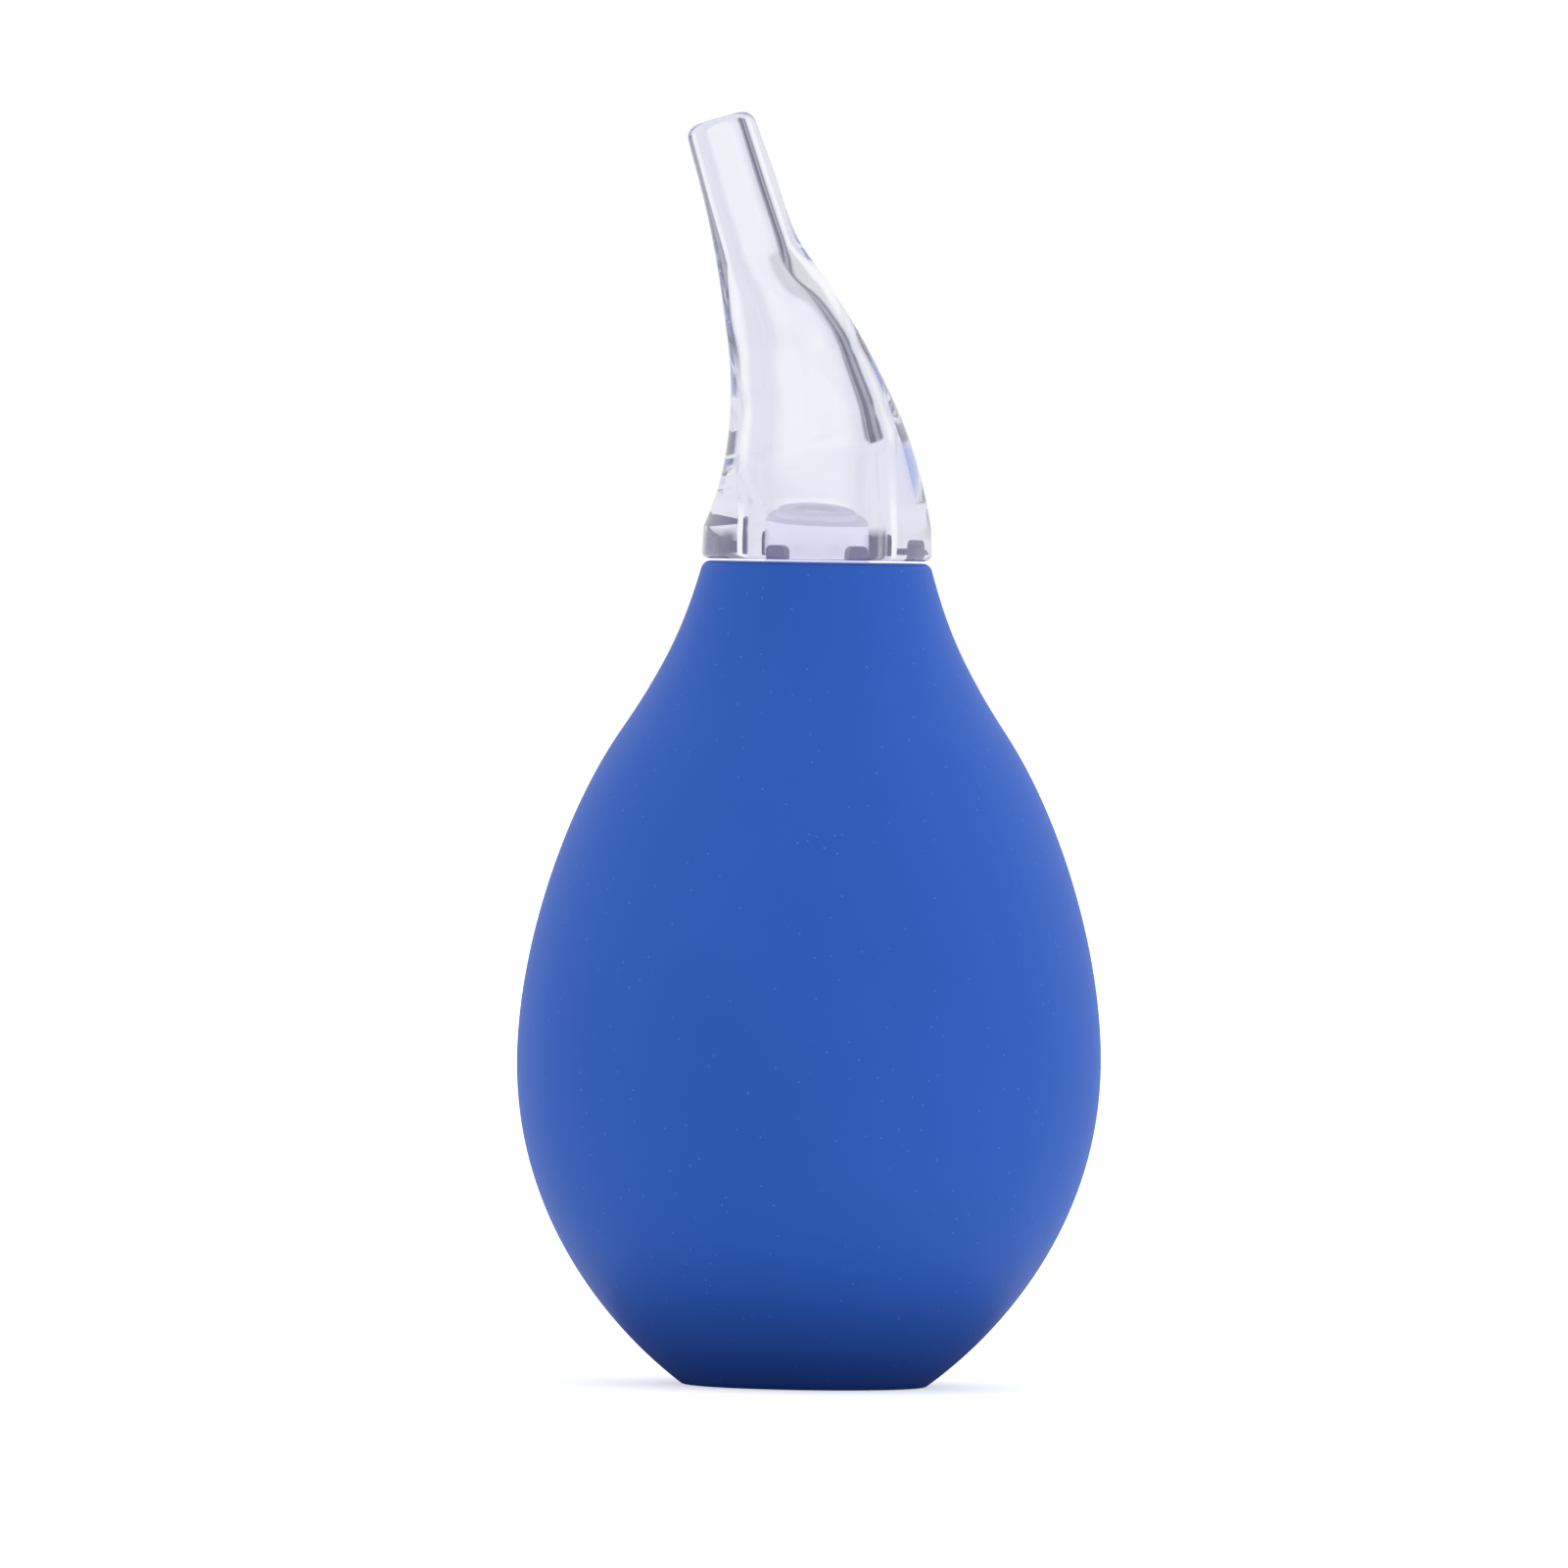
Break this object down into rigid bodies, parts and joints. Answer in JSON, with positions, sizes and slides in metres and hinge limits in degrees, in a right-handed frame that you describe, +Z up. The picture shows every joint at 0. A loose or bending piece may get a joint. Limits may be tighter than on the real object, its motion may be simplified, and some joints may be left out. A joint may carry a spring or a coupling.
{
  "type": "nasal aspirator",
  "caption": "Baby nasal aspirator: a soft blue pear-shaped squeeze bulb with a bent clear nozzle that turns in its mouth and pulls off for cleaning.",
  "frame": {"origin": "centre of the bulb's flat foot, on the surface it stands on", "axes": "+Z up, from the foot to the nozzle. The nozzle bends towards -X, and the XZ plane is the plane of symmetry. -Y is the front, where one finger presses"},
  "size_m": [0.039, 0.039, 0.0849],
  "materials": {
    "silicone_blue": "matte blue silicone, fine grained",
    "clear_plastic": "clear rigid plastic with a faint lavender tint, polished"
  },
  "bodies": {
    "bulb": {"bulb": "silicone_blue"},
    "front_wall": {"bulb_front_wall": "silicone_blue"},
    "back_wall": {"bulb_back_wall": "silicone_blue"},
    "connector": {"connector": "clear_plastic"},
    "nozzle": {"nozzle": "clear_plastic"}
  },
  "joints": [
    {"name": "squeeze", "type": "slide", "parent": "bulb", "child": "front_wall", "axis": [0, 1, 0], "range_m": [0, 0.006], "stiffness_N_per_m": 1200},
    {"name": "squeeze_back", "type": "slide", "parent": "bulb", "child": "back_wall", "axis": [0, -1, 0], "range_m": [0, 0.006], "stiffness_N_per_m": 1200},
    {"name": "tip_swivel", "type": "hinge", "parent": "bulb", "child": "connector", "pos_m": [0, 0, 0.051], "axis": [0, 0, 1], "continuous": true},
    {"name": "nozzle_pull_off", "type": "slide", "parent": "connector", "child": "nozzle", "axis": [0, 0, 1], "range_m": [0, 0.008]}
  ],
  "couplings": [
    {"joint": "squeeze_back", "follows": "squeeze", "ratio": 1}
  ]
}
